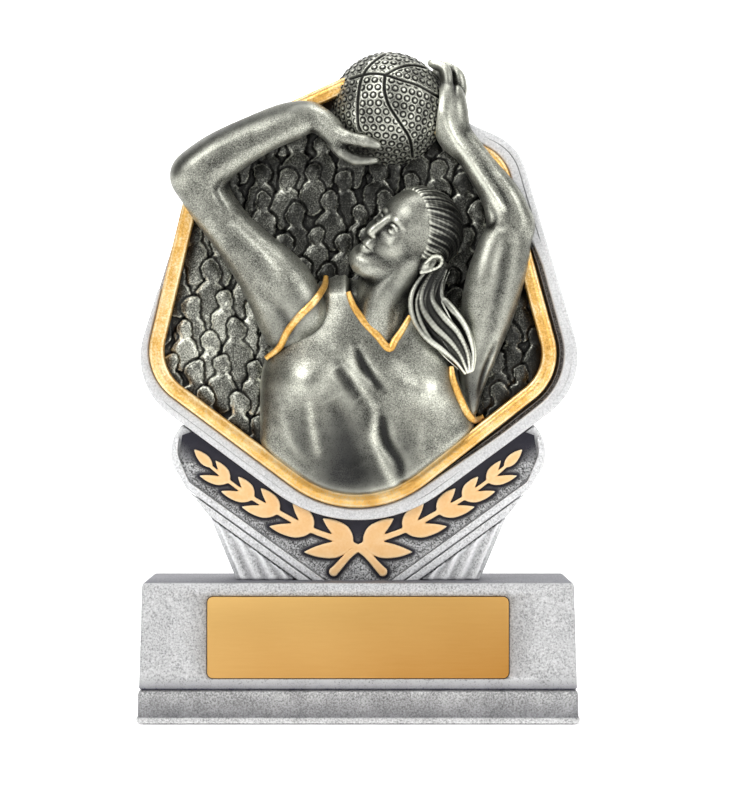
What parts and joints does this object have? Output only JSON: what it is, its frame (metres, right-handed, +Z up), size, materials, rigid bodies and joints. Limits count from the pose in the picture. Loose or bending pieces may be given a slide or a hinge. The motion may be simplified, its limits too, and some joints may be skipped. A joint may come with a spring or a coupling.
{
  "type": "basketball trophy",
  "caption": "Cast-resin relief award: a basketball player holds a ball overhead on a six-sided shield, over a fluted column with a laurel and a stepped plinth with a blank plate",
  "frame": {"origin": "middle of the underside of the felt pad, on the surface that the award stands on", "axes": "+Z up, -Y the front with the figure and the plate, +X to the right as seen from the front"},
  "size_m": [0.0984, 0.042, 0.1501],
  "materials": {
    "silver_paint": "satin",
    "dark_patina": "satin",
    "pewter_patina": "satin",
    "gold_paint": "satin",
    "engraving_brass": "satin",
    "felt": "matte",
    "tape": "matte"
  },
  "bodies": {
    "root": {"felt_pad": "felt", "foot_moulding": "silver_paint", "plinth": "silver_paint", "plate_tape": "tape", "engraving_plate": "engraving_brass", "column": "silver_paint", "chevron_outer_left": "silver_paint", "chevron_outer_right": "silver_paint", "chevron_inner_left": "silver_paint", "chevron_inner_right": "silver_paint", "laurel_panel": "dark_patina", "laurel_wreath": "gold_paint", "shield_core": "silver_paint", "shield_rim": "silver_paint", "gold_band": "gold_paint", "crowd_relief": "dark_patina", "jersey": "pewter_patina", "collar_trim": "gold_paint", "armhole_trim_left": "gold_paint", "armhole_trim_right": "gold_paint", "neck": "pewter_patina", "head": "pewter_patina", "hair": "pewter_patina", "ponytail": "pewter_patina", "arm_left": "pewter_patina", "arm_right": "pewter_patina", "hand_left": "pewter_patina", "hand_right": "pewter_patina", "basketball": "pewter_patina"}
  },
  "joints": []
}
